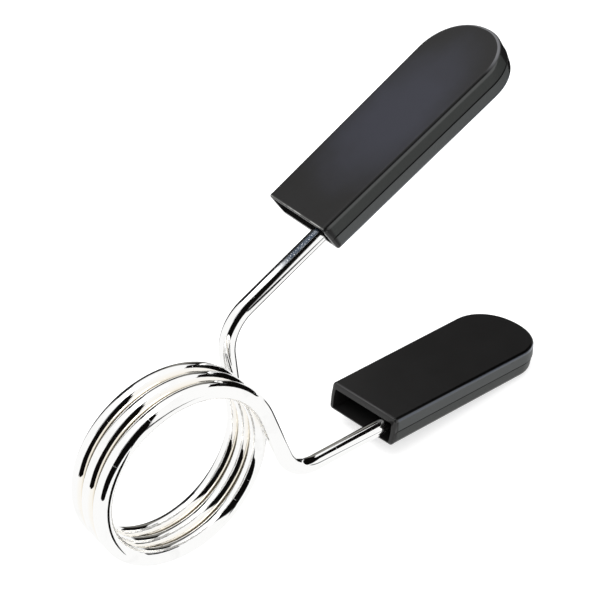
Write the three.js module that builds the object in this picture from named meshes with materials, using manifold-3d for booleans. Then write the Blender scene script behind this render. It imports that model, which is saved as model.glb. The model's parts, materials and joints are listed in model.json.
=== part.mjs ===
// Spring collar for a barbell: a chrome steel torsion spring that clamps the bar's 50 mm sleeve in its coil,
// and two hollow plastic grips pushed over the spring's ends. Squeezing the grips together unwinds the coil
// and opens it. Millimetres, +Z up. The coil's axis lies along Y and the grips reach out towards +X.
// The collar lies as it does on a table: on the laps of its coil and on the tip of its lower grip.
import * as THREE from "three";
import { mergeVertices } from "three/addons/utils/BufferGeometryUtils.js";
import Module from "manifold-3d";

const wasm = await Module();
wasm.setup();

// Wire and coil
const WIRE_D = 5;
const BORE_D = 48.6; // free inside diameter, a little under the 50 mm sleeve that it grips
const LAP_GAP = 0.5; // clear space between neighbouring laps
const LAPS = 3; // laps before the angle between the legs is taken off
const REAR_LEG_ANGLE = 5; // degrees round the axis from +X, where the wire leaves the coil
const FRONT_LEG_ANGLE = 20;

// Legs: a straight run off the coil, one bend outwards, and a straight run into the grip
const LEG_RISE = 27.5; // from the coil to the corner of the bend
const LEG_REACH = 38.4; // from that corner to the mouth of the grip
const LEG_BEND_R = 14.4; // centre line of the bend
const LOWER_LEG_TILT = -3.7; // degrees above the horizontal
const UPPER_LEG_TILT = 31.5;
const LEG_SPLAY = 3.8; // degrees that each leg leans in towards the other one's side
const LOWER_GRIP_ROLL = 0; // degrees about the grip's own length
const UPPER_GRIP_ROLL = -3.2;

// Hairpin: the wire turns back on itself inside the grip, so that the flat grip can't spin
const HAIRPIN_R = 8.5; // centre line of the turn
const HAIRPIN_RETURN = 42; // length of the run that comes back towards the mouth

// Grip: a hollow flat moulding, open at its mouth and round at its tip. Both grips are the same moulding.
// It is described as the lower grip has it, with its inner face up. The upper grip has it turned over.
const GRIP_L = 80; // at half its thickness
const MOUTH_LEAN = 0.4; // the mouth is set back by this at the inner face, and stands out at the outer one
const GRIP_INNER_WALL = 2.1; // over the pocket
const GRIP_OUTER_WALL = 0.8; // under the pocket
const GRIP_MOUTH_WALL = 1.6; // beside the pocket, at the mouth
const GRIP_FAR_WALL = 2.9; // beside the pocket, where the round tip starts
const GRIP_TIP_WALL = 3; // past the end of the pocket
const GRIP_TIP_DEPTH = 14.8; // length of the round tip
const GRIP_EDGE_R = 1.2; // rounding along the edges of the broad faces
const GRIP_DRAFT = 0.3; // the side walls lean in by this from the parting line to each face

// Clearances
const POCKET_FIT = 0.3; // between the wire and the pocket's thick inner wall, which rests on it
const POCKET_DROP = 1.6; // free height between the wire and the thin outer wall
const POCKET_PLAY = 1.5; // on each side of the hairpin, and past its end
const WIRE_SEAM = 0.3; // between the coil and each leg
const OVERRUN = 2; // how far a cut runs past the face that it opens

// Counts of facets
const WIRE_SIDES = 12;
const LAP_STEP = 10; // degrees between the rings of the coil
const BEND_STEPS = 8;
const HAIRPIN_STEPS = 14;
const TIP_STEPS = 20;
const EDGE_STEPS = 3;
const TIP_POWER_SHARE = 0.94; // power of the round tip's outline: 1 is an ellipse, less is squarer

// What follows from the sizes above
const wireRadius = WIRE_D / 2;
const coilRadius = (BORE_D + WIRE_D) / 2;
const pitch = WIRE_D + LAP_GAP;
const turnAngle = LAPS * 360 + REAR_LEG_ANGLE - FRONT_LEG_ANGLE;
const pocketHalfWidth = HAIRPIN_R + wireRadius + POCKET_PLAY;
const pocketTop = wireRadius + POCKET_FIT; // heights in a grip are over the middle of its wire
const pocketFloor = -(wireRadius + POCKET_DROP);
const gripTop = pocketTop + GRIP_INNER_WALL;
const gripFloor = pocketFloor - GRIP_OUTER_WALL;
const partingHeight = (gripTop + gripFloor) / 2;
const hairpinCentre = GRIP_L - GRIP_TIP_WALL - pocketHalfWidth;

const radians = THREE.MathUtils.degToRad;
const axisY = new THREE.Vector3(0, 1, 0);

// A place on a wire's centre line, with the direction in which the wire runs there.
function station(point, tangent) {
  return { point, tangent: tangent.clone().normalize() };
}

// The place that lies a distance further along the same straight line.
function ahead(from, distance) {
  return station(from.point.clone().addScaledVector(from.tangent, distance), from.tangent);
}

// A geometry from rings of points that all run the same way round, closed by a cap at each end.
function loft(rings) {
  const count = rings[0].length;
  const last = (rings.length - 1) * count;
  const index = [];
  for (let ring = 0; ring < last; ring += count) {
    for (let i = 0; i < count; i++) {
      const next = (i + 1) % count;
      index.push(ring + i, ring + next, ring + count + next);
      index.push(ring + i, ring + count + next, ring + count + i);
    }
  }
  for (let i = 1; i < count - 1; i++) {
    index.push(0, i + 1, i);
    index.push(last, last + i, last + i + 1);
  }
  const geometry = new THREE.BufferGeometry().setFromPoints(rings.flat());
  geometry.setIndex(index);
  return geometry;
}

// A round wire through a list of stations. Its facets keep their place round the wire as it bends.
function sweepWire(stations, firstNormal) {
  const normal = firstNormal.clone();
  let before = stations[0].tangent;
  const rings = stations.map(({ point, tangent }) => {
    normal.applyQuaternion(new THREE.Quaternion().setFromUnitVectors(before, tangent));
    normal.addScaledVector(tangent, -normal.dot(tangent)).normalize();
    before = tangent;
    const side = new THREE.Vector3().crossVectors(tangent, normal);
    return Array.from({ length: WIRE_SIDES }, (_, i) => {
      const angle = (i / WIRE_SIDES) * 2 * Math.PI;
      return point
        .clone()
        .addScaledVector(normal, wireRadius * Math.cos(angle))
        .addScaledVector(side, wireRadius * Math.sin(angle));
    });
  });
  return loft(rings);
}

// The coil's centre line at an angle in degrees. It winds clockwise, seen from the front, and comes forwards.
function coilStation(angle) {
  const phi = radians(angle);
  const wound = radians(REAR_LEG_ANGLE - angle);
  const lead = pitch / (2 * Math.PI);
  const rearY = (lead * radians(turnAngle)) / 2;
  const y = rearY - lead * wound;
  const point = new THREE.Vector3(coilRadius * Math.cos(phi), y, coilRadius * Math.sin(phi));
  const tangent = new THREE.Vector3(coilRadius * Math.sin(phi), -lead, -coilRadius * Math.cos(phi));
  return station(point, tangent);
}

// The whole coil, with a straight end one wire thick towards each leg.
function coilStations() {
  const end = REAR_LEG_ANGLE - turnAngle;
  const angles = [REAR_LEG_ANGLE];
  for (let angle = Math.ceil(REAR_LEG_ANGLE / LAP_STEP - 1) * LAP_STEP; angle > end; angle -= LAP_STEP) {
    angles.push(angle);
  }
  angles.push(end);
  const laps = angles.map(coilStation);
  return [ahead(laps[0], -WIRE_D), ...laps, ahead(laps[laps.length - 1], WIRE_D)];
}

// The least clear space between two stretches of the wire that aren't neighbours along it.
function leastGap(stations) {
  let least = Infinity;
  let run = 0;
  const along = stations.map(({ point }, i) => {
    run += i ? point.distanceTo(stations[i - 1].point) : 0;
    return run;
  });
  stations.forEach((a, i) => {
    for (let j = i + 1; j < stations.length; j++) {
      if (along[j] - along[i] > pitch * 3) {
        least = Math.min(least, a.point.distanceTo(stations[j].point) - WIRE_D);
      }
    }
  });
  return least;
}

// An arc that turns the wire from one station's direction to another direction, in equal steps.
function bend(from, direction, radius, steps) {
  const axis = new THREE.Vector3().crossVectors(from.tangent, direction).normalize();
  const angle = from.tangent.angleTo(direction);
  const toCentre = new THREE.Vector3().crossVectors(axis, from.tangent).multiplyScalar(radius);
  const centre = from.point.clone().add(toCentre);
  return Array.from({ length: steps + 1 }, (_, i) => {
    const turn = (angle * i) / steps;
    const arm = toCentre.clone().negate().applyAxisAngle(axis, turn);
    return station(centre.clone().add(arm), from.tangent.clone().applyAxisAngle(axis, turn));
  });
}

// The grip's own axes: along its length, across its broad faces, and out of its upper face.
function gripAxes(tilt, splay, roll) {
  const length = new THREE.Vector3(1, 0, 0);
  length.applyAxisAngle(new THREE.Vector3(0, 0, 1), radians(splay));
  length.applyAxisAngle(axisY, -radians(tilt));
  const width = axisY.clone().addScaledVector(length, -length.y).normalize();
  width.applyAxisAngle(length, radians(roll));
  const face = new THREE.Vector3().crossVectors(length, width);
  return { length, width, face };
}

// One leg, from the coil to the end of its hairpin, and the place of the mouth of its grip.
function legPath(coilEnd, axes) {
  const start = ahead(coilEnd, WIRE_D + WIRE_SEAM);
  const corner = ahead(coilEnd, LEG_RISE);
  const setback = LEG_BEND_R * Math.tan(coilEnd.tangent.angleTo(axes.length) / 2);
  const outer = bend(ahead(corner, -setback), axes.length, LEG_BEND_R, BEND_STEPS);
  const entry = station(corner.point.clone().addScaledVector(axes.length, LEG_REACH), axes.length);
  const turnStart = ahead(entry, hairpinCentre);
  const half = bend(turnStart, axes.width, HAIRPIN_R, HAIRPIN_STEPS / 2);
  const back = axes.length.clone().negate();
  const rest = bend(half[half.length - 1], back, HAIRPIN_R, HAIRPIN_STEPS / 2);
  const end = ahead(rest[rest.length - 1], HAIRPIN_RETURN);
  const mouth = entry.point.clone().addScaledVector(axes.width, HAIRPIN_R);
  return { stations: [start, ...outer, ...half, ...rest.slice(1), end], mouth };
}

// The grip's outline at a distance inside its widest one: x runs from the mouth to the tip.
function gripOutline(inset, mouthX) {
  const mouthHalf = pocketHalfWidth + GRIP_MOUTH_WALL - inset;
  const farHalf = pocketHalfWidth + GRIP_FAR_WALL - inset;
  const tipStart = GRIP_L - GRIP_TIP_DEPTH;
  const outline = [new THREE.Vector2(mouthX, -mouthHalf)];
  for (let i = 0; i <= TIP_STEPS; i++) {
    const angle = (i / TIP_STEPS - 1 / 2) * Math.PI;
    const reach = Math.max(Math.cos(angle), 0) ** TIP_POWER_SHARE;
    const across = Math.sign(angle) * Math.abs(Math.sin(angle)) ** TIP_POWER_SHARE;
    outline.push(new THREE.Vector2(tipStart + (GRIP_TIP_DEPTH - inset) * reach, farHalf * across));
  }
  outline.push(new THREE.Vector2(mouthX, mouthHalf));
  return outline;
}

// Lays an outline at a height over the middle of the grip's wire.
function atHeight(outline, height) {
  return outline.map((p) => new THREE.Vector3(p.x, p.y, height));
}

// One level of the grip's outside, at a height over the parting line. Its mouth follows the leaning plane.
function gripLevel(height, inset) {
  const mouthX = (MOUTH_LEAN * height) / (gripTop - partingHeight);
  return atHeight(gripOutline(inset, mouthX), partingHeight + height);
}

// The outside of the grip: drafted walls that meet at the parting line, and rounded edges.
function gripShell() {
  const wallTop = gripTop - partingHeight - GRIP_EDGE_R;
  const upper = [{ height: 0, inset: 0 }];
  for (let i = 0; i <= EDGE_STEPS; i++) {
    const angle = ((i / EDGE_STEPS) * Math.PI) / 2;
    upper.push({
      height: wallTop + GRIP_EDGE_R * Math.sin(angle),
      inset: GRIP_DRAFT + GRIP_EDGE_R * (1 - Math.cos(angle)),
    });
  }
  const lower = upper.slice(1).reverse();
  return loft([
    ...lower.map(({ height, inset }) => gripLevel(-height, inset)),
    ...upper.map(({ height, inset }) => gripLevel(height, inset)),
  ]);
}

// The pocket that takes the hairpin, cut through the mouth.
function gripPocket() {
  const outline = [new THREE.Vector2(-OVERRUN, -pocketHalfWidth)];
  for (let i = 0; i <= HAIRPIN_STEPS; i++) {
    const angle = (i / HAIRPIN_STEPS - 1 / 2) * Math.PI;
    const x = hairpinCentre + pocketHalfWidth * Math.cos(angle);
    outline.push(new THREE.Vector2(x, pocketHalfWidth * Math.sin(angle)));
  }
  outline.push(new THREE.Vector2(-OVERRUN, pocketHalfWidth));
  return loft([atHeight(outline, pocketFloor), atHeight(outline, pocketTop)]);
}

// A closed geometry as a solid for joining and cutting.
function solidOf(geometry) {
  const plain = geometry.clone();
  plain.deleteAttribute("normal");
  plain.deleteAttribute("uv");
  const merged = mergeVertices(plain);
  return new wasm.Manifold(
    new wasm.Mesh({
      numProp: 3,
      vertProperties: new Float32Array(merged.attributes.position.array),
      triVerts: new Uint32Array(merged.index.array),
    }),
  );
}

// A solid as a geometry again.
function geometryOf(solid) {
  const { vertProperties, triVerts } = solid.getMesh();
  const geometry = new THREE.BufferGeometry();
  geometry.setAttribute("position", new THREE.BufferAttribute(vertProperties, 3));
  geometry.setIndex(new THREE.BufferAttribute(triVerts, 1));
  return geometry;
}

// A named mesh with a material of its own, shaded flat by facets.
function piece(name, geometry, look) {
  const flat = geometry.toNonIndexed();
  flat.computeVertexNormals();
  const mesh = new THREE.Mesh(flat, new THREE.MeshStandardMaterial(look));
  mesh.name = name;
  return mesh;
}

const chrome = { color: 0xe4e6ea, metalness: 1, roughness: 0.08 };
const plastic = { color: 0x1d1e21, metalness: 0, roughness: 0.42 };

// The spring, in three stretches: the coil and its two legs
const coil = coilStations();
const rearEnd = coilStation(REAR_LEG_ANGLE);
rearEnd.tangent.negate();
const frontEnd = coilStation(REAR_LEG_ANGLE - turnAngle);
const lowerAxes = gripAxes(LOWER_LEG_TILT, LEG_SPLAY, LOWER_GRIP_ROLL);
const upperAxes = gripAxes(UPPER_LEG_TILT, -LEG_SPLAY, UPPER_GRIP_ROLL);
const lowerLeg = legPath(frontEnd, lowerAxes);
const upperLeg = legPath(rearEnd, upperAxes);
const outwards = (from) => new THREE.Vector3(from.point.x, 0, from.point.z).normalize();
console.log("least gap between laps, mm:", leastGap(coil).toFixed(3));

const springCoil = piece("spring_coil", sweepWire(coil, outwards(rearEnd)), chrome);
const lowerWire = piece("lower_leg_wire", sweepWire(lowerLeg.stations, outwards(frontEnd)), chrome);
const upperWire = piece("upper_leg_wire", sweepWire(upperLeg.stations, outwards(rearEnd)), chrome);

// The grips, each turned and moved so that its pocket takes its hairpin
const gripGeometry = geometryOf(solidOf(gripShell()).subtract(solidOf(gripPocket())));

function grip(name, { length, width, face }, mouth) {
  const mesh = piece(name, gripGeometry, plastic);
  mesh.quaternion.setFromRotationMatrix(new THREE.Matrix4().makeBasis(length, width, face));
  mesh.position.copy(mouth);
  return mesh;
}

// The same axes after half a turn about the grip's length.
function turnedOver({ length, width, face }) {
  return { length, width: width.clone().negate(), face: face.clone().negate() };
}

const lowerGrip = grip("lower_grip", lowerAxes, lowerLeg.mouth);
const upperGrip = grip("upper_grip", turnedOver(upperAxes), upperLeg.mouth);

const collar = new THREE.Group();
collar.add(springCoil, lowerWire, upperWire, lowerGrip, upperGrip);

// The lowest place of a mesh, in the frame of the whole.
function lowestOf(mesh) {
  mesh.updateWorldMatrix(true, false);
  const places = mesh.geometry.attributes.position;
  const lowest = new THREE.Vector3(0, 0, Infinity);
  const place = new THREE.Vector3();
  for (let i = 0; i < places.count; i++) {
    place.fromBufferAttribute(places, i).applyMatrix4(mesh.matrixWorld);
    if (place.z < lowest.z) lowest.copy(place);
  }
  return lowest;
}

// Tips the collar about the coil's axis until the coil and the tip of the lower grip stand at one height.
for (let round = 0; round < 6; round++) {
  const gripLow = lowestOf(lowerGrip);
  const drop = gripLow.z - lowestOf(springCoil).z;
  collar.rotation.y += Math.asin(drop / gripLow.length());
}

// The origin is the middle of the collar's box, at the height that it stands on.
const box = new THREE.Box3().setFromObject(collar, true);
const middle = box.getCenter(new THREE.Vector3());
collar.position.set(-middle.x, -middle.y, -box.min.z);
console.log("coil axis passes through, mm:", collar.position.toArray().map((v) => v.toFixed(3)).join(", "));

const group = new THREE.Group();
group.add(collar);
export default group;
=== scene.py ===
import json
import math
import bmesh
import bpy
from mathutils import Matrix, Vector


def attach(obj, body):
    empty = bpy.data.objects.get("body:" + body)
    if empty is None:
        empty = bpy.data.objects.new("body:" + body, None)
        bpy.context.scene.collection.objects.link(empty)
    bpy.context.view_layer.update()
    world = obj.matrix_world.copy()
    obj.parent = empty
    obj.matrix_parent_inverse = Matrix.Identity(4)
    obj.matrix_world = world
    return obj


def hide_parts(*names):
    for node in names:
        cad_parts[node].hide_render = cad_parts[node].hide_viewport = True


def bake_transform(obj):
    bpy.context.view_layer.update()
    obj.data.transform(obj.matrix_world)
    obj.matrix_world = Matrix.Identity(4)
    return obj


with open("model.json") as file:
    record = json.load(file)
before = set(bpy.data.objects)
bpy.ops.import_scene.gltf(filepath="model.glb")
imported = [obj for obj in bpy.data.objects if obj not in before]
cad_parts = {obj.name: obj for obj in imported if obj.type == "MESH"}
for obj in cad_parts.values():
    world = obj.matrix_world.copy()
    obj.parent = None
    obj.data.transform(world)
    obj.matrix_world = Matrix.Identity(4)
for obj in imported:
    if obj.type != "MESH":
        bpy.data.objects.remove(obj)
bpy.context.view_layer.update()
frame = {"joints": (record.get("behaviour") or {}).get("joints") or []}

MM = 0.001
hinge = Vector(frame["joints"][0]["pos_m"]) / MM

# ---------------------------------------------------------------- camera
# Where the photograph was taken from, as seen from the hinge: degrees, and millimetres
CAMERA_AZIMUTH = -40.2022
CAMERA_ELEVATION = 32.1733
CAMERA_ROLL = 0.6143
CAMERA_DISTANCE = 323.4913
# In picture points: the picture's side, the focal length, and the hinge's place from the picture's middle
PHOTO_SIDE = 600
CAMERA_FOCUS = 1175.0084
HINGE_IN_PHOTO = (-124.622, -163.5162)
SENSOR = 36
NEAREST_SEEN = 0.01


def camera_axes():
    """The camera's right, up and backward directions."""
    azimuth, elevation, roll = (math.radians(v) for v in (CAMERA_AZIMUTH, CAMERA_ELEVATION, CAMERA_ROLL))
    reach = math.cos(elevation)
    back = Vector((math.sin(azimuth) * reach, -math.cos(azimuth) * reach, math.sin(elevation)))
    level = Vector((math.cos(azimuth), math.sin(azimuth), 0))
    upright = back.cross(level)
    right = level * math.cos(roll) + upright * math.sin(roll)
    return right, back.cross(right), back


def place_camera():
    right, up, back = camera_axes()
    step = CAMERA_DISTANCE / CAMERA_FOCUS
    place = hinge + back * CAMERA_DISTANCE - right * HINGE_IN_PHOTO[0] * step - up * HINGE_IN_PHOTO[1] * step
    data = bpy.data.cameras.new("photo_camera")
    data.sensor_width = SENSOR
    data.lens = SENSOR * CAMERA_FOCUS / PHOTO_SIDE
    data.clip_start = NEAREST_SEEN
    camera = bpy.data.objects.new("photo_camera", data)
    camera.matrix_world = Matrix.Translation(place * MM) @ Matrix((right, up, back)).transposed().to_4x4()
    bpy.context.collection.objects.link(camera)
    bpy.context.scene.camera = camera


place_camera()

# ---------------------------------------------------------------- sizes, in millimetres and degrees
WIRE_R = 2.5
BORE_R = 24.3
LAP_GAP = 0.5
LAPS = 3
SETTLE = 0.096771  # the collar tips by this about the coil's axis to lie on the table
REAR_LEG_ANGLE = 5 - SETTLE
FRONT_LEG_ANGLE = 20 - SETTLE
LEG_RISE = 27.5
LEG_REACH = 38.4
LEG_BEND_R = 14.4
LOWER_LEG_TILT = -3.7 - SETTLE
UPPER_LEG_TILT = 31.5 - SETTLE
LEG_SPLAY = 3.8
UPPER_GRIP_ROLL = -3.2
HAIRPIN_R = 8.5
HAIRPIN_CENTRE = 64.5
HAIRPIN_RETURN = 42
SEAM = 5.15  # from the coil's last degree to where the leg's own piece starts

GRIP_L = 79.9
GRIP_MOUTH_HALF = 14.1
GRIP_FAR_HALF = 15.4
GRIP_HALF_THICK = 4.9
GRIP_TIP_DEPTH = 14.8
GRIP_TIP_POWER = 0.94
GRIP_EDGE_R = 1.2
GRIP_DRAFT = 0.3
GRIP_STEP = 0.12  # the lower half of the mould is smaller by this all round
PARTING_DEEP = 0.22
PARTING_WIDE = 0.34
PARTING_LIP = 0.06
PARTING_FADE = 1.6  # the parting line starts this far behind the mouth
LIP_R = 0.7
MOUTH_LEAN = 0.4  # the mouth is set back by this at the grip's inner face, and stands out at the outer one
POCKET_HALF = 12.5
POCKET_FLOOR = -4.1
POCKET_ROOF = 2.8
POCKET_END_R = 12.5
SUPPORT = 0.4  # keeps the shading of the rounded edges off the broad faces

COIL_R = BORE_R + WIRE_R
PITCH = 2 * WIRE_R + LAP_GAP
COIL_TURN = LAPS * 360 + REAR_LEG_ANGLE - FRONT_LEG_ANGLE
ONE_LAP = 2 * math.pi * COIL_R
COIL_LENGTH = math.hypot(ONE_LAP, PITCH) * COIL_TURN / 360 + 2 * SEAM

# Fineness
WIRE_SIDES = 64
COIL_STEP = 4
BEND_STEP = 3
TIP_STEPS = 72
EDGE_SEGMENTS = 8
LIP_SEGMENTS = 3
POCKET_END_LEVELS = 8
POCKET_END_STEP = 11.5
SHARPEST_SMOOTH = 35
TINY = 0.0001  # places that are nearer than this are the same


# ---------------------------------------------------------------- shader sums
MIX_FIRST, MIX_SECOND, MIX_OUT = 6, 7, 2  # the colour sockets of a Mix node


class Value:
    """A socket on which sums can be written."""

    def __init__(self, finish, socket):
        self.finish = finish
        self.socket = socket

    def sum(self, operation, *others, before=False):
        terms = [*others, self] if before else [self, *others]
        return self.finish.node("ShaderNodeMath", {"operation": operation}, dict(enumerate(terms)))

    def __add__(self, other):
        return self.sum("ADD", other)

    def __mul__(self, other):
        return self.sum("MULTIPLY", other)

    def __sub__(self, other):
        return self.sum("SUBTRACT", other)

    def __rsub__(self, other):
        return self.sum("SUBTRACT", other, before=True)

    def __truediv__(self, other):
        return self.sum("DIVIDE", other)

    def __pow__(self, other):
        return self.sum("POWER", other)

    def __abs__(self):
        return self.sum("ABSOLUTE")

    __radd__ = __add__
    __rmul__ = __mul__

    def least(self, other):
        return self.sum("MINIMUM", other)

    def most(self, other):
        return self.sum("MAXIMUM", other)

    def step(self, start, end, low, high):
        """A smooth step from low at start to high at end."""
        settings = {"interpolation_type": "SMOOTHSTEP"}
        sockets = {"Value": self, "From Min": start, "From Max": end, "To Min": low, "To Max": high}
        return self.finish.node("ShaderNodeMapRange", settings, sockets)

    def rise(self, start, end):
        """0 before start, and 1 after end."""
        return self.step(start, end, 0, 1)

    def fall(self, start, end):
        """1 before start, and 0 after end."""
        return self.step(start, end, 1, 0)

    def between(self, start, full, fade, end):
        """1 from full to fade, and 0 before start and after end."""
        return self.rise(start, full) * self.fall(fade, end)


def rgba(colour):
    return colour if isinstance(colour, Value) else (*colour, 1)


class Finish:
    """The node tree of a material or of the world."""

    def __init__(self, owner):
        owner.use_nodes = True
        self.tree = owner.node_tree
        self.tree.nodes.clear()

    def node(self, kind, settings=None, sockets=None, out=0):
        """Adds a node, with its settings and then its sockets' values or links. Gives one of its outputs."""
        made = self.tree.nodes.new(kind)
        for name, value in (settings or {}).items():
            setattr(made, name, value)
        for name, value in (sockets or {}).items():
            if isinstance(value, Value):
                self.tree.links.new(value.socket, made.inputs[name])
            else:
                made.inputs[name].default_value = value
        return Value(self, made.outputs[out]) if made.outputs else None

    def place(self):
        return self.node("ShaderNodeTexCoord", out="Object")

    def attribute(self, name):
        return self.node("ShaderNodeAttribute", {"attribute_name": name}, None, "Vector")

    def split(self, vector):
        """The three numbers of a vector."""
        first = self.node("ShaderNodeSeparateXYZ", None, {0: vector})
        return [Value(self, part) for part in first.socket.node.outputs]

    def noise(self, vector, scale, detail, rough, warp=0.0):
        sockets = {"Vector": vector, "Scale": scale, "Detail": detail, "Roughness": rough, "Distortion": warp}
        return self.node("ShaderNodeTexNoise", None, sockets, "Fac")

    def streaks(self, vector, scales, detail, rough):
        """A noise with a scale of its own in each direction."""
        scaled = self.node("ShaderNodeVectorMath", {"operation": "MULTIPLY"}, {0: vector, 1: scales})
        return self.noise(scaled, 1, detail, rough)

    def tint(self, mask, first, second):
        """A colour between two, by a mask."""
        sockets = {"Factor": mask, MIX_FIRST: rgba(first), MIX_SECOND: rgba(second)}
        return self.node("ShaderNodeMix", {"data_type": "RGBA"}, sockets, MIX_OUT)

    def layers(self, colour, *masks):
        """Lays one colour after another over the first, each by its own mask."""
        for mask, over in masks:
            colour = self.tint(mask, colour, over)
        return colour

    def bump(self, height, strength, deep, **under):
        sockets = {"Height": height, "Strength": strength, "Distance": deep, **under}
        return self.node("ShaderNodeBump", None, sockets)

    def surface(self, shader, kind="ShaderNodeOutputMaterial"):
        self.node(kind, None, {"Surface": shader})


def new_material(name, colour):
    material = bpy.data.materials.new(name)
    material.diffuse_color = rgba(colour)
    return material


# ---------------------------------------------------------------- chrome of the wire
CHROME = (0.972, 0.970, 0.962)
# Painted reflection: a cream light bouncing between the laps, and painted shade where they nearly touch
FLANK_BOUNCE_LIGHT = (0.960, 0.930, 0.870)
GAP_SHADE = (0.52, 0.49, 0.43)
DULLED = (0.88, 0.88, 0.87)
# Painted dark reflection on the upper leg by its grip
PAINTED_DARK_REFLECTION = (0.032, 0.042, 0.058)
# Painted dark reflection as a line on the lower leg
REFLECTED_LINE_GREY = (0.16, 0.17, 0.17)

# Streaks on the wire: their scales for a wire radius outwards and sideways and for a millimetre along it, then
# their detail and roughness
DRAWN_LINES = (26, 26, 0.035), 3, 0.6
FINE_LINES = (70, 70, 0.11), 2, 0.5
SCRATCHES = (3.5, 3.5, 0.9), 6, 0.75
NICKS = (0.8, 0.8, 3.2), 1, 0.4
MOTTLING = (5, 5, 2.6), 5, 0.8
FINGER_MARKS = 130, 4, 0.6, 0.6
# How strong each must be before it shows, and when it is full
LINE_SHOWS = 0.62, 0.70
HAZE_SHOWS = 0.52, 0.72
SCRATCH_SHOWS = 0.66, 0.72
NICK_SHOWS = 0.765, 0.785
BARE_OF_MOTTLE = 0.54, 0.72

# The sides with which two laps face each other, in wire radii sideways, and how softly they start along it
GAP_SIDE = 0.90, 0.99
FLANK_SIDE = 0.50, 0.85
LAP_FADE = 4
COIL_END_FADE = 1

# The painted reflection of a dark line on the lower leg: where it is in degrees round the wire, at a place past
# the coil's end, and how far it winds for each millimetre. Each degree off the line counts for a set amount
# there, and for more with each millimetre, so that the line thins.
REFLECTED_LINE_ROUND = 57.8
REFLECTED_LINE_PLACE = 31
REFLECTED_LINE_WINDS = 0.65
REFLECTED_LINE_FINE = 0.5
REFLECTED_LINE_THINS = 0.02
REFLECTED_LINE_EDGE = 0.8, 1.9
REFLECTED_LINE_RUN = -7, -5, 24, 27

# The stretch of the upper leg that its grip was pushed over, rubbed rough and painted near black as a painted
# dark reflection, in millimetres along it and in wire radii
DARK_PATCH_RUN = -60, -59, -48, -37
DARK_PATCH_OUTWARD = -0.7, -0.5
DARK_PATCH_SIDE = -0.26, -0.12, 0.44, 0.52

# The bright plate's roughness and what each mark adds to it, how far the marks grey it, and the lines' depth
POLISH = 0.018
HAZE_DULLS = 0.03
LINE_DULLS = 0.03
SCRATCH_DULLS = 0.12
NICK_DULLS = 0.5
GAP_DULLS = 0.10
RUBBING_DULLS = 0.3
HAZE_GREYS = 0.4
LINE_GREYS = 0.3
DRAWN_SHARE = 0.7
LINES_SHOW = 0.25
LINES_DEEP = 0.00001


def painted_reflected_line(outward, side, run):
    """A painted dark reflection: one line that winds a little round the lower leg."""
    around = side.sum("ARCTAN2", outward) * math.degrees(1)
    past = run - (COIL_LENGTH + REFLECTED_LINE_PLACE)
    off = abs(around - past * REFLECTED_LINE_WINDS - REFLECTED_LINE_ROUND) * (REFLECTED_LINE_FINE + past * REFLECTED_LINE_THINS)
    return off.fall(*REFLECTED_LINE_EDGE) * past.between(*REFLECTED_LINE_RUN)


def chrome_material():
    material = new_material("bright_chrome", CHROME)
    finish = Finish(material)
    along = finish.attribute("along_wire")
    outward, side, run = finish.split(along)
    # Lines that the drawing die left along the wire
    drawn = finish.streaks(along, *DRAWN_LINES)
    fine = finish.streaks(along, *FINE_LINES)
    line = fine.rise(*LINE_SHOWS)
    # Finger marks, scratches along the wire and short nicks across it
    haze = finish.noise(finish.place(), *FINGER_MARKS).rise(*HAZE_SHOWS)
    scratch = finish.streaks(along, *SCRATCHES).rise(*SCRATCH_SHOWS)
    nick = finish.streaks(along, *NICKS).rise(*NICK_SHOWS)
    # Where two laps nearly touch the plate is rougher and darkened with painted shade, and beside that it has a
    # cream painted reflection of light bouncing between the laps
    last_lap = COIL_LENGTH - ONE_LAP
    rear_laps = run.between(
        ONE_LAP - LAP_FADE, ONE_LAP + LAP_FADE, COIL_LENGTH - COIL_END_FADE, COIL_LENGTH + COIL_END_FADE
    )
    front_laps = run.between(-COIL_END_FADE, COIL_END_FADE, last_lap - LAP_FADE, last_lap + LAP_FADE)

    def facing(start, full):
        return side.fall(-full, -start) * rear_laps + side.rise(start, full) * front_laps

    gap = facing(*GAP_SIDE)
    flank = facing(*FLANK_SIDE)
    # Painted reflection: a dark line that winds along the lower leg
    reflected_line = painted_reflected_line(outward, side, run)
    # Rubbed rough by pushing the upper grip on, and painted near black there as a painted dark reflection
    rubbed_and_dark_reflection = run.between(*DARK_PATCH_RUN) * outward.fall(*DARK_PATCH_OUTWARD) * side.between(*DARK_PATCH_SIDE)
    rubbed_and_dark_reflection = rubbed_and_dark_reflection * finish.streaks(along, *MOTTLING).fall(*BARE_OF_MOTTLE)
    rough = POLISH + haze * HAZE_DULLS + line * LINE_DULLS + scratch * SCRATCH_DULLS + nick * NICK_DULLS
    rough = rough + gap * GAP_DULLS + rubbed_and_dark_reflection * RUBBING_DULLS
    normal = finish.bump(drawn * DRAWN_SHARE + fine * (1 - DRAWN_SHARE), LINES_SHOW, LINES_DEEP)
    colour = finish.layers(
        CHROME, (haze * HAZE_GREYS + line * LINE_GREYS, DULLED), (flank, FLANK_BOUNCE_LIGHT), (gap, GAP_SHADE),
        (rubbed_and_dark_reflection, PAINTED_DARK_REFLECTION), (reflected_line, REFLECTED_LINE_GREY),
    )
    sockets = {"Base Color": colour, "Metallic": 1.0, "Roughness": rough, "Normal": normal}
    finish.surface(finish.node("ShaderNodeBsdfPrincipled", None, sockets))
    return material


# ---------------------------------------------------------------- plastic of the grips
FACE = (0.0155, 0.0150, 0.0150)
FACE_WORN = (0.022, 0.022, 0.022)
HANDLED = (0.034, 0.035, 0.047)
# Painted light on the side walls: the inner half lighter, the outer half darker
WALL_ABOVE = (0.092, 0.097, 0.097)
WALL_BELOW = (0.046, 0.049, 0.047)
# Painted shade, black: in the parting line's groove, and as a dark reflection in the rounded edges
PAINTED_BLACK = (0.001, 0.001, 0.001)
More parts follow.
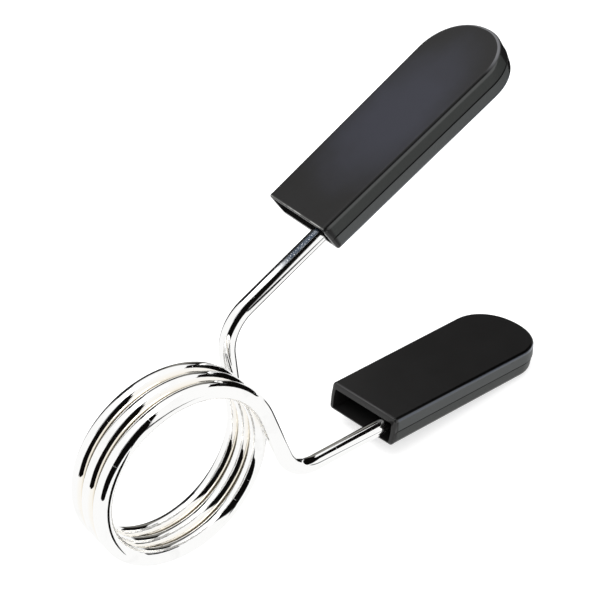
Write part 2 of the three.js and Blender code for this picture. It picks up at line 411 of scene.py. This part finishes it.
# Painted highlight on the outer lip of the mouth
LIP_HIGHLIGHT = (0.55, 0.55, 0.53)
# Painted highlights: on the tip's outer edge, and a bluish sheen along the inner edge, palest at the tip
TIP_HIGHLIGHT = (0.16, 0.16, 0.17)
EDGE_SHEEN = (0.058, 0.068, 0.090)
TIP_SHEEN = (0.26, 0.28, 0.33)

# Grain of the mould, wear, and the streaks of the lip's painted highlight: scale for a millimetre, detail and
# roughness, and a warp for the patches
GRAIN = 5.2, 2, 0.5
COARSE_GRAIN = 0.9, 3, 0.55
PATCHES = 0.06, 3, 0.5, 0.4
SCUFFS = (0.19, 1.1, 0.19), 7, 0.72
LIP_STREAKS = (0.1, 0.22, 0.1), 2, 0.5
PATCH_SHOWS = 0.4, 0.75
SCUFF_SHOWS = 0.64, 0.74
LIP_STREAK_SHOWS = 0.40, 0.56

# Where the finish changes, in millimetres. First across the grip and along it, clear of the pocket's inside
OUTSIDE_ACROSS = POCKET_HALF + 0.1, POCKET_HALF + 0.5
OUTSIDE_ALONG = GRIP_L - 3.2, GRIP_L - 3
BEHIND_MOUTH = 1.2, 2.2
TIP_SHEEN_ALONG = 66, 74
TIP_HIGHLIGHT_ALONG = 64, 73
# Then from the middle of the side wall, towards the inner face
INNER_HALF = 0, 0.1
HALVES_MEET = -0.3, 0.3
GROOVE = 0.17, 0.32
# From the broad face that is nearer, outwards
WALL_TOP = -0.6, -0.35
ROUND_EDGE = -1.35, -1.1, -0.55, -0.35
PAINTED_LINE_BAND = -0.5, -0.3, -0.03, -0.005
TIP_BAND = -0.6, -0.2, -0.03, -0.005
# And from the mouth's leaning plane, and from the outer face
LIP_FADE = LIP_R - 0.1, LIP_R + 0.1
LIP_HIGHLIGHT_BEHIND = 0.3, 0.6
LIP_HIGHLIGHT_ABOVE = 0.1, 0.3
# The palm's patch: its middle along the grip, its half length and half width
PALM = 42, 34, 18
PALM_FADE = 0, 1.2
PALM_UNEVEN = 0.9

# The plastic's roughness and what each mark adds or takes, how far the marks change its colour, and the
# grain's depth
SATIN = 0.26
PATCH_DULLS = 0.08
GRAIN_DULLS = 0.05
SCUFF_SHINES = 0.06
WALL_DULLS = 0.10
SCUFF_GREYS = 0.35
PATCH_GREYS = 0.25
GROOVE_DARK = 0.9
LEAST_LIP_HIGHLIGHT = 0.25
LIP_SHINE = 0.5
GRAIN_SHOWS, GRAIN_DEEP = 0.22, 0.00003
COARSE_SHOWS, COARSE_DEEP = 0.12, 0.00005
PLASTIC_IOR = 1.49
PLASTIC_SPECULAR = 0.14
COAT_ROUGHNESS = 0.06


def plastic_material():
    material = new_material("satin_black_plastic", FACE)
    finish = Finish(material)
    place = finish.attribute("grip_place")
    x, y, z = finish.split(place)
    outside = abs(y).rise(*OUTSIDE_ACROSS).most(x.rise(*OUTSIDE_ALONG))
    inner, outer = z.rise(*INNER_HALF), z.fall(*INNER_HALF)
    height = abs(z) - GRIP_HALF_THICK
    # The side walls keep the coarser grain of the mould; their colour is painted light, greyer than the broad
    # faces, with the inner half lighter than the outer
    past_mouth = x.rise(*BEHIND_MOUTH)
    wall = height.fall(*WALL_TOP) * outside * past_mouth
    grain = finish.noise(place, *GRAIN)
    coarse = finish.noise(place, *COARSE_GRAIN)
    patch = finish.noise(place, *PATCHES)
    scuff = finish.streaks(place, *SCUFFS).rise(*SCUFF_SHOWS)
    sides = finish.tint(z.rise(*HALVES_MEET), WALL_BELOW, WALL_ABOVE)
    # Painted shade: the parting line's groove is darkened nearly to black
    sides = finish.tint(abs(z).fall(*GROOVE) * GROOVE_DARK, sides, PAINTED_BLACK)
    # The palm greys the middle of the outer face
    middle, half_long, half_wide = PALM
    palm = ((x - middle) / half_long) ** 2 + (y / half_wide) ** 2 + (patch - 0.5) * PALM_UNEVEN
    # The rounded edges are rubbed smooth and get a clear coat; along the inner face's edge a painted bluish
    # highlight, palest at the tip, a painted highlight on the outer face's tip edge, and a painted dark
    # reflection as a line inside them
    round_edge = height.between(*ROUND_EDGE) * outside
    inner_edge = round_edge * inner
    painted_dark_line = height.between(*PAINTED_LINE_BAND) * outside
    tip_highlight = height.between(*TIP_BAND) * x.rise(*TIP_HIGHLIGHT_ALONG) * outer
    # A painted highlight on the outer lip of the mouth, pale and streaked
    behind = x - z * (MOUTH_LEAN / GRIP_HALF_THICK)
    lip_streaks = finish.streaks(place, *LIP_STREAKS).rise(*LIP_STREAK_SHOWS)
    lip_highlight_mask = (z + GRIP_HALF_THICK).fall(*LIP_HIGHLIGHT_ABOVE) * (LEAST_LIP_HIGHLIGHT + lip_streaks * (1 - LEAST_LIP_HIGHLIGHT))
    lip_highlight_mask = lip_highlight_mask * behind.fall(*LIP_HIGHLIGHT_BEHIND)
    colour = finish.layers(
        FACE, (scuff * SCUFF_GREYS + patch.rise(*PATCH_SHOWS) * PATCH_GREYS, FACE_WORN),
        (palm.fall(*PALM_FADE) * outer, HANDLED), (wall, sides), (inner_edge * past_mouth, EDGE_SHEEN),
        (inner_edge * x.rise(*TIP_SHEEN_ALONG), TIP_SHEEN), (painted_dark_line, PAINTED_BLACK), (lip_highlight_mask, LIP_HIGHLIGHT),
        (tip_highlight, TIP_HIGHLIGHT),
    )
    rough = SATIN + patch * PATCH_DULLS + coarse * GRAIN_DULLS - scuff * SCUFF_SHINES + wall * WALL_DULLS
    under = finish.bump(coarse, COARSE_SHOWS, COARSE_DEEP)
    normal = finish.bump(grain, GRAIN_SHOWS, GRAIN_DEEP, Normal=under)
    shine = round_edge.most(behind.fall(*LIP_FADE) * LIP_SHINE)
    sockets = {
        "Base Color": colour, "Roughness": rough, "Normal": normal, "IOR": PLASTIC_IOR,
        "Specular IOR Level": PLASTIC_SPECULAR, "Coat Weight": shine, "Coat Roughness": COAT_ROUGHNESS,
    }
    finish.surface(finish.node("ShaderNodeBsdfPrincipled", None, sockets))
    return material


chrome = chrome_material()
plastic = plastic_material()


# ---------------------------------------------------------------- from a mesh to an object
def as_object(mesh, name, material):
    data = bpy.data.meshes.new(name)
    mesh.to_mesh(data)
    mesh.free()
    data.materials.append(material)
    made = bpy.data.objects.new(name, data)
    bpy.context.collection.objects.link(made)
    return made


def as_piece(mesh, name, material):
    """Makes an object of a mesh in millimetres: smooth faces, and sharp edges where it turns a corner."""
    bmesh.ops.scale(mesh, vec=(MM, MM, MM), verts=mesh.verts)
    for face in mesh.faces:
        face.smooth = True
    for edge in mesh.edges:
        edge.smooth = edge.calc_face_angle(0) < math.radians(SHARPEST_SMOOTH)
    return as_object(mesh, name, material)


def verts_of(items):
    return [item for item in items if isinstance(item, bmesh.types.BMVert)]


def edges_of(items):
    return [item for item in items if isinstance(item, bmesh.types.BMEdge)]


def faces_of(items):
    return [item for item in items if isinstance(item, bmesh.types.BMFace)]


# ---------------------------------------------------------------- wire
AXIS = Vector((0, 1, 0))


def turn(angle, axis):
    return Matrix.Rotation(math.radians(angle), 3, axis)


class Wire:
    """A round wire that is drawn forwards from its start, in straight runs and bends.

    Each point keeps its place on the wire: outwards and sideways in wire radii, and along it in millimetres.
    Its sense is -1 where it is drawn towards the wire's rear end, against the way that its length is counted.
    """

    def __init__(self, start, ahead, side, run=0.0, sense=1):
        self.mesh = bmesh.new()
        self.place = start.copy()
        self.ahead = ahead.normalized()
        self.run = run
        self.sense = sense
        self.layer = self.mesh.verts.layers.float_vector.new("along_wire")
        made = bmesh.ops.create_circle(self.mesh, segments=WIRE_SIDES, radius=WIRE_R)
        for vert in made["verts"]:
            vert[self.layer] = (vert.co.x / WIRE_R, sense * vert.co.y / WIRE_R, run)
        across = self.ahead.cross(side)
        matrix = Matrix((side, across, self.ahead)).transposed().to_4x4()
        bmesh.ops.transform(self.mesh, matrix=Matrix.Translation(start) @ matrix, verts=made["verts"])
        self.ring = self.mesh.edges[:]
        self.close()

    def close(self):
        bmesh.ops.contextual_create(self.mesh, geom=self.ring)

    def mark(self, verts, length):
        self.run += self.sense * length
        for vert in verts:
            vert[self.layer].z = self.run

    def straight(self, length):
        made = bmesh.ops.extrude_edge_only(self.mesh, edges=self.ring)["geom"]
        verts = verts_of(made)
        bmesh.ops.translate(self.mesh, verts=verts, vec=self.ahead * length)
        self.ring = [edge for edge in edges_of(made) if all(vert in verts for vert in edge.verts)]
        self.place += self.ahead * length
        self.mark(verts, length)

    def bend(self, centre, axis, angle, step, lead=0.0):
        """Turns round a centre, and moves along the axis by lead for each full turn."""
        steps = math.ceil(angle / step)
        slide = axis * lead / 360 * (angle / steps)
        radius = (self.place - centre).cross(axis).length
        length = math.hypot(radius * math.radians(angle), lead * angle / 360) / steps
        spin = turn(angle / steps, axis)
        for _ in range(steps):
            made = bmesh.ops.spin(
                self.mesh, geom=self.ring, cent=centre, axis=axis, dvec=slide,
                angle=math.radians(angle / steps), steps=1,
            )["geom_last"]
            self.ring = edges_of(made)
            self.mark(verts_of(made), length)
            self.place = centre + spin @ (self.place - centre) + slide
            self.ahead = spin @ self.ahead

    def finish(self, name):
        self.close()
        bmesh.ops.recalc_face_normals(self.mesh, faces=self.mesh.faces)
        return as_piece(self.mesh, name, chrome)


def coil_end(angle, forward):
    """The place, direction and outward side of the wire at the coil's end: forward is 1 for the front, -1 for
    the rear."""
    phi = math.radians(angle)
    outward = Vector((math.cos(phi), 0, math.sin(phi)))
    lead = PITCH / (2 * math.pi)
    ahead = Vector((COIL_R * math.sin(phi), -lead, -COIL_R * math.cos(phi))).normalized()
    place = hinge + outward * COIL_R - AXIS * forward * PITCH * COIL_TURN / 360 / 2
    return place, ahead, outward


rear, rear_ahead, rear_side = coil_end(REAR_LEG_ANGLE, -1)
front, front_ahead, front_side = coil_end(FRONT_LEG_ANGLE, 1)

coil = Wire(rear - rear_ahead * SEAM, rear_ahead, rear_side)
coil.straight(SEAM)
coil.bend(hinge, AXIS, COIL_TURN, COIL_STEP, -PITCH)
coil.straight(SEAM)
spring_coil = coil.finish("coil_of_spring_wire")


def grip_axes(tilt, splay, roll):
    """The grip's directions along its length, across it, and out of its upper face."""
    length = turn(-tilt, "Y") @ turn(splay, "Z") @ Vector((1, 0, 0))
    width = turn(roll, length) @ (AXIS - length * AXIS.dot(length)).normalized()
    return length, width, length.cross(width)


def leg(name, end, ahead, side, axes, run, sense):
    """The wire from the coil into its grip and round the hairpin. Gives the piece and the mouth's middle."""
    length, width, face = axes
    wire = Wire(end + ahead * SEAM, ahead, side, run, sense)
    corner = end + ahead * LEG_RISE
    angle = ahead.angle(length)
    wire.straight((corner - wire.place).length - LEG_BEND_R * math.tan(angle / 2))
    axis = ahead.cross(length).normalized()
    wire.bend(wire.place + axis.cross(ahead) * LEG_BEND_R, axis, math.degrees(angle), BEND_STEP)
    entry = corner + length * LEG_REACH
    wire.straight((entry - wire.place).length + HAIRPIN_CENTRE)
    wire.bend(wire.place + width * HAIRPIN_R, face, 180, BEND_STEP)
    wire.straight(HAIRPIN_RETURN)
    return wire.finish(name), entry + width * HAIRPIN_R


lower_axes = grip_axes(LOWER_LEG_TILT, LEG_SPLAY, 0)
upper_axes = grip_axes(UPPER_LEG_TILT, -LEG_SPLAY, UPPER_GRIP_ROLL)
lower_leg, lower_mouth = leg("lower_leg_of_wire", front, front_ahead, front_side, lower_axes, coil.run, 1)
upper_leg, upper_mouth = leg("upper_leg_of_wire", rear, -rear_ahead, rear_side, upper_axes, 0.0, -1)


# ---------------------------------------------------------------- grips
def side_at(x):
    share = x / (GRIP_L - GRIP_TIP_DEPTH)
    return GRIP_MOUTH_HALF + (GRIP_FAR_HALF - GRIP_MOUTH_HALF) * share


def grip_outline(mesh):
    """The grip's outline as one face: straight sides that part a little towards a full round tip."""
    start = GRIP_L - GRIP_TIP_DEPTH
    places = [(0, -GRIP_MOUTH_HALF), (PARTING_FADE, -side_at(PARTING_FADE))]
    for i in range(TIP_STEPS + 1):
        angle = (i / TIP_STEPS - 0.5) * math.pi
        across = math.copysign(abs(math.sin(angle)) ** GRIP_TIP_POWER, angle)
        reach = max(math.cos(angle), 0) ** GRIP_TIP_POWER
        places.append((start + GRIP_TIP_DEPTH * reach, GRIP_FAR_HALF * across))
    places += [(x, -y) for x, y in places[1::-1]]
    return mesh.faces.new([mesh.verts.new((x, y, 0)) for x, y in places])


def draw_in(mesh, verts, inset, keep_mouth=False):
    """Makes a level of the outline smaller all round, apart from the mouth's plane."""
    loose = [v for v in verts if v.co.x > PARTING_FADE / 2] if keep_mouth else verts
    vec = (1 - inset / GRIP_L, 1 - inset / GRIP_FAR_HALF, 1)
    bmesh.ops.scale(mesh, vec=vec, verts=loose)


def raise_level(mesh, face, height, inset, keep_mouth=False):
    """Draws the outline up by a height, and changes its size."""
    made = bmesh.ops.extrude_face_region(mesh, geom=[face])["geom"]
    bmesh.ops.translate(mesh, vec=(0, 0, height), verts=verts_of(made))
    draw_in(mesh, verts_of(made), inset, keep_mouth)
    return faces_of(made)[0]


def clear_inside(mesh):
    """Takes out the faces that a row of extrusions leaves across the inside."""
    inside = [f for f in mesh.faces if all(len(e.link_faces) > 2 for e in f.edges)]
    bmesh.ops.delete(mesh, geom=inside, context="FACES_ONLY")


def grip_shell():
    """The outside of a grip, from its lower face up, with the step and the groove of its parting line."""
    mesh = bmesh.new()
    level = grip_outline(mesh)
    bmesh.ops.translate(mesh, vec=(0, 0, -GRIP_HALF_THICK), verts=mesh.verts)
    draw_in(mesh, level.verts, GRIP_DRAFT)
    draw_in(mesh, level.verts, GRIP_STEP, True)
    plain = GRIP_HALF_THICK - PARTING_WIDE / 2
    level = raise_level(mesh, level, plain, -GRIP_DRAFT)
    level = raise_level(mesh, level, PARTING_LIP, PARTING_DEEP - GRIP_STEP, True)
    level = raise_level(mesh, level, PARTING_WIDE - 2 * PARTING_LIP, 0)
    level = raise_level(mesh, level, PARTING_LIP, -PARTING_DEEP, True)
    raise_level(mesh, level, plain, GRIP_DRAFT)
    clear_inside(mesh)
    bmesh.ops.recalc_face_normals(mesh, faces=mesh.faces)
    return mesh


def at_mouth(item):
    return all(v.co.x < TINY for v in item.verts)


def at_broad_face(item):
    return all(abs(v.co.z) > GRIP_HALF_THICK - TINY for v in item.verts)


def round_edges(mesh, edges, radius, segments):
    bmesh.ops.bevel(
        mesh, geom=edges, offset=radius, affect="EDGES", segments=segments, profile=0.5, material=-1
    )


def mouth_face(mesh):
    """Joins the faces in the mouth's plane into one."""
    faces = [f for f in mesh.faces if at_mouth(f)]
    inner = [e for e in mesh.edges if len(e.link_faces) == 2 and all(f in faces for f in e.link_faces)]
    bmesh.ops.dissolve_edges(mesh, edges=inner)
    return next(f for f in mesh.faces if at_mouth(f))


def fit_pocket(mesh, verts):
    """Makes a ring in the mouth's plane as wide and as high as the pocket."""
    low = Vector([min(v.co[i] for v in verts) for i in range(3)])
    high = Vector([max(v.co[i] for v in verts) for i in range(3)])
    wide = 2 * POCKET_HALF / (high.y - low.y)
    tall = (POCKET_ROOF - POCKET_FLOOR) / (high.z - low.z)
    bmesh.ops.scale(mesh, vec=(1, wide, tall), verts=verts)
    bmesh.ops.translate(mesh, vec=(0, 0, POCKET_FLOOR - low.z * tall), verts=verts)


def hollow(mesh):
    """Rounds the lip and draws the pocket inwards from the mouth, round the hairpin's end."""
    round_edges(mesh, mouth_face(mesh).edges[:], LIP_R, LIP_SEGMENTS)
    face = max((f for f in mesh.faces if at_mouth(f)), key=lambda f: f.calc_area())
    bmesh.ops.inset_region(mesh, faces=[face], thickness=GRIP_HALF_THICK - LIP_R + POCKET_FLOOR)
    fit_pocket(mesh, face.verts)
    depth = 0
    half = POCKET_HALF
    for i in range(POCKET_END_LEVELS):
        angle = math.radians(i * POCKET_END_STEP)
        x = HAIRPIN_CENTRE + POCKET_END_R * math.sin(angle)
        made = bmesh.ops.extrude_face_region(mesh, geom=[face])["geom"]
        bmesh.ops.translate(mesh, vec=(x - depth, 0, 0), verts=verts_of(made))
        bmesh.ops.scale(mesh, vec=(1, POCKET_HALF * math.cos(angle) / half, 1), verts=verts_of(made))
        face = faces_of(made)[0]
        depth, half = x, POCKET_HALF * math.cos(angle)
    clear_inside(mesh)


def lean_mouth(mesh):
    verts = [v for v in mesh.verts if v.co.x < PARTING_FADE - TINY]
    lean = Matrix.Identity(4)
    lean[0][2] = MOUTH_LEAN / GRIP_HALF_THICK
    bmesh.ops.transform(mesh, matrix=lean, verts=verts)


def grip(name, axes, mouth):
    """A whole grip. Each point keeps its place on it: along it, across it and towards the inner face."""
    mesh = grip_shell()
    rims = [e for e in mesh.edges if at_broad_face(e) and not at_mouth(e)]
    round_edges(mesh, rims, GRIP_EDGE_R, EDGE_SEGMENTS)
    hollow(mesh)
    bmesh.ops.inset_region(mesh, faces=[f for f in mesh.faces if at_broad_face(f)], thickness=SUPPORT)
    bmesh.ops.recalc_face_normals(mesh, faces=mesh.faces)
    lean_mouth(mesh)
    layer = mesh.verts.layers.float_vector.new("grip_place")
    for vert in mesh.verts:
        vert[layer] = vert.co
    matrix = Matrix.Translation(mouth) @ Matrix(axes).transposed().to_4x4()
    bmesh.ops.transform(mesh, matrix=matrix, verts=mesh.verts)
    return as_piece(mesh, name, plastic)


lower_grip = grip("lower_plastic_grip", lower_axes, lower_mouth)
turned_over = upper_axes[0], -upper_axes[1], -upper_axes[2]  # the same moulding, on its other face
upper_grip = grip("upper_plastic_grip", turned_over, upper_mouth)

# ---------------------------------------------------------------- bodies
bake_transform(spring_coil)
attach(lower_leg, "lower_half")
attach(lower_grip, "lower_half")
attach(upper_leg, "upper_half")
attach(upper_grip, "upper_half")
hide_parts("spring_coil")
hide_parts("lower_leg_wire")
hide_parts("upper_leg_wire")
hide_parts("lower_grip")
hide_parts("upper_grip")

# ---------------------------------------------------------------- studio
WHITE = (1, 1, 1)
WALL = (0.032, 0.031, 0.029)
WALL_LIT = (0.24, 0.235, 0.215)
POST = (0.012, 0.012, 0.013)
ROOM = (0.0035, 0.0032, 0.003)
ROOM_EDGE = (0.30, 0.33, 0.36)

# Directions in which polished metal sees the studio's dark parts, in degrees of azimuth and of height
WALL_SPAN = -16, -8, 64, 72
WALL_LIT_SPAN = 26, 38, 40, 54
WALL_HEAD = 28, 34
WALL_FOOT = -35
WALL_FOOT_EDGE = -1, 5
WALL_FOOT_CLIMBS = 26, 0.9  # from this azimuth on, and by how much for each degree
WALL_LEFT_LEANS = 0.7
WALL_LEFT = -22, -8
ROOM_MIDDLE = -143
ROOM_LOWEST = -30
ROOM_LEANS = 0.64
ROOM_HALF = 37.5
ROOM_NARROWS = 0.36, 0.58  # for each degree above the horizon, and below it
ROOM_BORDER = -1, 2
ROOM_HEAD = 73, 76
JAMB_OFF = 7
JAMB_WIDE = -2.5, -1, 1, 2.5
JAMB_HEIGHTS = 24, 28, 66, 70
EDGE_WIDE = 1, 2, 5, 7
EDGE_HEIGHTS = 24, 30, 66, 70
# The post and the rail each lie in a plane through the object: its normal, and how far off it they reach
POST_PLANE = (-0.923, 0.163, -0.348)
POST_WIDE = 0.10, 0.14
POST_BACK = 0, 0.2
POST_HEIGHTS = -35, -30, 20, 72
RAIL_PLANE = (0.730, 0.018, 0.683)
RAIL_WIDE = 0.035, 0.055
RAIL_FRONT = -0.8, -0.7
RAIL_RIGHT = -0.02, 0.02
RAIL_LOWEST = -30, -26


def grey_wall(azimuth, height):
    """The mask of a wall beside the grips, with its foot and its left edge on a slant."""
    climbs_from, climb = WALL_FOOT_CLIMBS
    foot = height - WALL_FOOT - (azimuth - climbs_from).most(0) * climb
    wall = azimuth.between(*WALL_SPAN) * foot.rise(*WALL_FOOT_EDGE) * height.fall(*WALL_HEAD)
    return wall * (azimuth + height.least(0) * WALL_LEFT_LEANS).rise(*WALL_LEFT)


def dark_room(azimuth, height):
    """The masks of the dark room behind the camera, and of a jamb and a paler edge along its right side."""
    above, below = ROOM_NARROWS
    low = height.least(0).most(ROOM_LOWEST)
    off = (azimuth - ROOM_MIDDLE + low * ROOM_LEANS).sum("WRAP", 180, -180)
    half = ROOM_HALF - height.most(0) * above + low * below
    room = (abs(off) - half).fall(*ROOM_BORDER) * height.fall(*ROOM_HEAD)
    beside = off - half
    jamb = (beside - JAMB_OFF).between(*JAMB_WIDE) * height.between(*JAMB_HEIGHTS)
    edge = beside.between(*EDGE_WIDE) * height.between(*EDGE_HEIGHTS)
    return room, jamb, edge


def studio_walls(finish, direction):
    """What polished metal sees of the studio in a direction: white all round, apart from its dark parts."""
    x, y, z = finish.split(direction)
    azimuth = x.sum("ARCTAN2", y) * math.degrees(1)
    height = z.sum("ARCSINE") * math.degrees(1)

    def off_plane(plane):
        sockets = {0: direction, 1: plane}
        return abs(finish.node("ShaderNodeVectorMath", {"operation": "DOT_PRODUCT"}, sockets, "Value"))

    wall = grey_wall(azimuth, height)
    wall_colour = finish.tint(azimuth.between(*WALL_LIT_SPAN), WALL, WALL_LIT)
    # A dark upright that leans across the back, and a thin dark rail low at the front
    post = off_plane(POST_PLANE).fall(*POST_WIDE) * y.rise(*POST_BACK) * height.between(*POST_HEIGHTS)
    rail = off_plane(RAIL_PLANE).fall(*RAIL_WIDE) * y.fall(*RAIL_FRONT) * x.rise(*RAIL_RIGHT)
    rail = rail * height.rise(*RAIL_LOWEST)
    room, jamb, edge = dark_room(azimuth, height)
    return finish.layers(
        WHITE, (wall, wall_colour), (edge, ROOM_EDGE), (post, POST), (rail, POST), (jamb, POST),
        (room, ROOM),
    )


SKY_LEVEL = 0.75
FLOOR = (0.8, 0.8, 0.8)
FLOOR_GLOW = 0.62
FLOOR_HALF = 3
LAMP_PLACE = (-0.3, 0.3, 1.1)
LAMP_SIZE = 1.0
LAMP_POWER = 6


def light_path(finish):
    """Whether a ray comes from the camera, and whether it comes off a gloss."""
    rays = finish.node("ShaderNodeLightPath").socket.node.outputs
    return Value(finish, rays["Is Camera Ray"]), Value(finish, rays["Is Glossy Ray"])


def studio_world():
    world = bpy.data.worlds.new("white_studio")
    bpy.context.scene.world = world
    finish = Finish(world)
    seen, glossy = light_path(finish)
    walls = studio_walls(finish, finish.node("ShaderNodeTexCoord", out="Generated"))
    level = SKY_LEVEL + seen.most(glossy) * (1 - SKY_LEVEL)
    sockets = {"Color": finish.tint(glossy, WHITE, walls), "Strength": level}
    finish.surface(finish.node("ShaderNodeBackground", None, sockets), "ShaderNodeOutputWorld")


def floor_material():
    material = new_material("pale_floor", FLOOR)
    finish = Finish(material)
    seen, _ = light_path(finish)
    plain = finish.node("ShaderNodeBsdfDiffuse", None, {"Color": rgba(FLOOR)})
    glow = finish.node("ShaderNodeEmission", None, {"Color": rgba(WHITE), "Strength": seen * FLOOR_GLOW})
    finish.surface(finish.node("ShaderNodeAddShader", None, {0: plain, 1: glow}))
    return material


def lay_floor():
    mesh = bmesh.new()
    bmesh.ops.create_grid(mesh, x_segments=1, y_segments=1, size=FLOOR_HALF)
    floor = as_object(mesh, "floor", floor_material())
    floor.visible_glossy = False  # polished metal shows the studio's pattern in its place


# Cards that only polished metal shows, in millimetres. Two black ones stand upright and face the hinge: their
# azimuth, distance, and outline across and up. A third stands beside the coil: its place along X, and its
# outline along Y and up. The last is the pale table top in front of the dark room, by its outline on the floor.
FAR_CARD = 82, 270, ((-140, 20), (155, 20), (145, 335), (-22, 280), (-46, 200), (-136, 200))
NEAR_CARD = 104, 200, ((-29, 20), (29, 20), (27, 226), (-29, 226))
SIDE_CARD_X = -80
SIDE_CARD = ((-21, 8), (-21, 80), (-60, 110), (-60, 20))
TABLE_EDGE = ((-215, 40), (-200, -45), (-120, -79), (150, -208), (150, 0), (-60, 0))


def mirror_card(name, places, colour):
    material = new_material(name, colour)
    finish = Finish(material)
    finish.surface(finish.node("ShaderNodeEmission", None, {"Color": rgba(colour)}))
    mesh = bmesh.new()
    mesh.faces.new([mesh.verts.new(place * MM) for place in places])
    card = as_object(mesh, name, material)
    card.visible_camera = card.visible_diffuse = card.visible_shadow = card.visible_transmission = False


def stand_cards():
    for name, (azimuth, away, outline) in (("far_black_card", FAR_CARD), ("near_black_card", NEAR_CARD)):
        facing = turn(-azimuth, "Z")
        places = [Vector((hinge.x, hinge.y, z)) + facing @ Vector((t, away, 0)) for t, z in outline]
        mirror_card(name, places, ROOM)
    mirror_card("table_edge", [Vector((x, y, 0)) for x, y in TABLE_EDGE], WHITE)
    mirror_card("side_black_card", [Vector((SIDE_CARD_X, y, z)) for y, z in SIDE_CARD], ROOM)


def soft_lamp(name, place, size, power):
    data = bpy.data.lights.new(name, "AREA")
    data.shape = "SQUARE"
    data.size = size
    data.energy = power
    lamp = bpy.data.objects.new(name, data)
    lamp.location = place
    lamp.rotation_euler = (-Vector(place)).to_track_quat("-Z", "Y").to_euler()
    bpy.context.collection.objects.link(lamp)


studio_world()
lay_floor()
stand_cards()
soft_lamp("soft_lamp_above", LAMP_PLACE, LAMP_SIZE, LAMP_POWER)

bpy.context.scene.view_settings.view_transform = "Standard"
bpy.context.view_layer.update()
